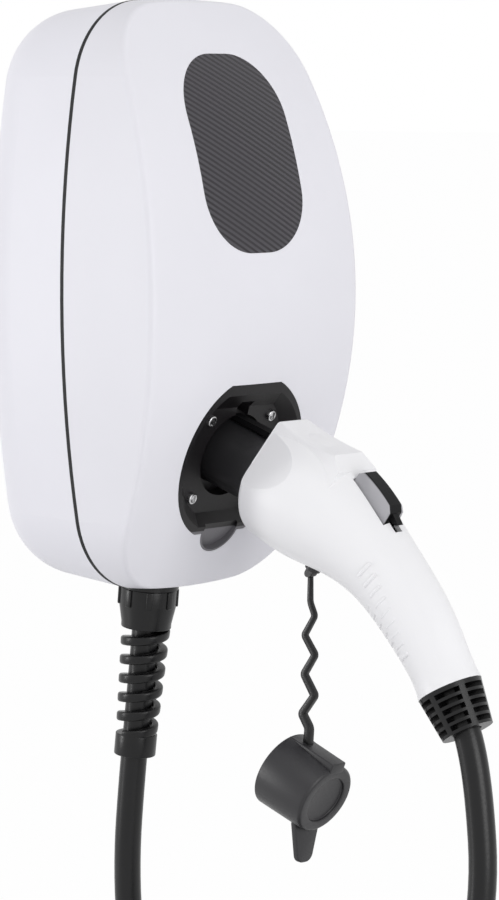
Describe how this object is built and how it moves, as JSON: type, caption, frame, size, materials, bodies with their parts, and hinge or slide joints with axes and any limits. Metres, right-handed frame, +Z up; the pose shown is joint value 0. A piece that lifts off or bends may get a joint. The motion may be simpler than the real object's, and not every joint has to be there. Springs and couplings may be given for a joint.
{
  "type": "ev wallbox",
  "caption": "Domed wall box for charging an electric car, with a holster for its connector, a bend-relief gland, a capped and tethered connector, and a coiled charging lead.",
  "frame": {"origin": "middle of the flat back face, on the wall plane, at the centre of the wall fixing holes", "axes": "+X to the right as one faces the box, +Y into the wall, +Z up"},
  "size_m": [0.16, 0.2727, 0.667],
  "materials": {
    "rear_white": "satin moulded plastic",
    "front_white": "satin moulded plastic",
    "connector_white": "smooth moulded plastic",
    "rubber_dark": "matt",
    "window_smoke": "smoked gloss",
    "clear_lens": "clear",
    "circuit_board": "solder mask",
    "case_black": "moulded",
    "can_metal": "drawn can",
    "terminal_grey": "moulded",
    "wire_sheath": "extruded",
    "steel": "bright",
    "dock_black": "fine grain",
    "nose_black": "smooth",
    "contact_brass": "plain",
    "trigger_black": "fine grain",
    "gland_black": "moulded",
    "cap_black": "soft moulded",
    "cable_sheath": "smooth sheath",
    "tie_fabric": "hook-and-loop tape"
  },
  "bodies": {
    "wallbox": {"rear_shell": "rear_white", "front_shell": "front_white", "seam_gasket": "rubber_dark", "shell_screws": "steel", "supply_grommet": "rubber_dark", "status_window": "window_smoke", "light_pipe": "clear_lens", "light_board": "circuit_board", "dock_liner": "dock_black", "dock_screws": "steel", "main_board": "circuit_board", "board_screws": "steel", "power_relays": "case_black", "power_supply": "case_black", "capacitors": "can_metal", "leakage_sensor": "case_black", "terminal_block": "terminal_grey", "output_wires": "wire_sheath", "gland_body": "gland_black", "gland_locknut": "gland_black", "gland_seal": "rubber_dark", "gland_spiral_nut": "gland_black", "cable_box_side": "cable_sheath", "cable_coil": "cable_sheath", "coil_ties": "tie_fabric", "cable_connector_side": "cable_sheath"},
    "connector": {"connector_shell_left": "connector_white", "connector_shell_right": "connector_white", "connector_screws": "steel", "connector_nose": "nose_black", "contact_sleeves": "contact_brass", "trigger_pin": "steel", "trigger_spring": "steel", "cable_clamp": "gland_black", "relief_nut": "gland_black", "strap_stud": "cap_black"},
    "trigger": {"latch_trigger": "trigger_black"},
    "dust_cap": {"dust_cap": "cap_black"}
  },
  "joints": [
    {"name": "connector_slide", "type": "slide", "parent": "wallbox", "child": "connector", "axis": [0, -0.9474, -0.32], "range_m": [0, 0.05], "deforming": ["cable_connector_side"]},
    {"name": "trigger_press", "type": "hinge", "parent": "connector", "child": "trigger", "pos_m": [0, -0.17697, -0.08665], "axis": [1, 0, 0], "range_deg": [0, 5], "stiffness_Nm_per_rad": 2, "springref_deg": -2.86, "deforming": ["trigger_spring"]},
    {"name": "cap_swing", "type": "hinge", "parent": "connector", "child": "dust_cap", "pos_m": [0, -0.15926, -0.13173], "axis": [1, 0, 0], "range_deg": [-25, 25]}
  ]
}
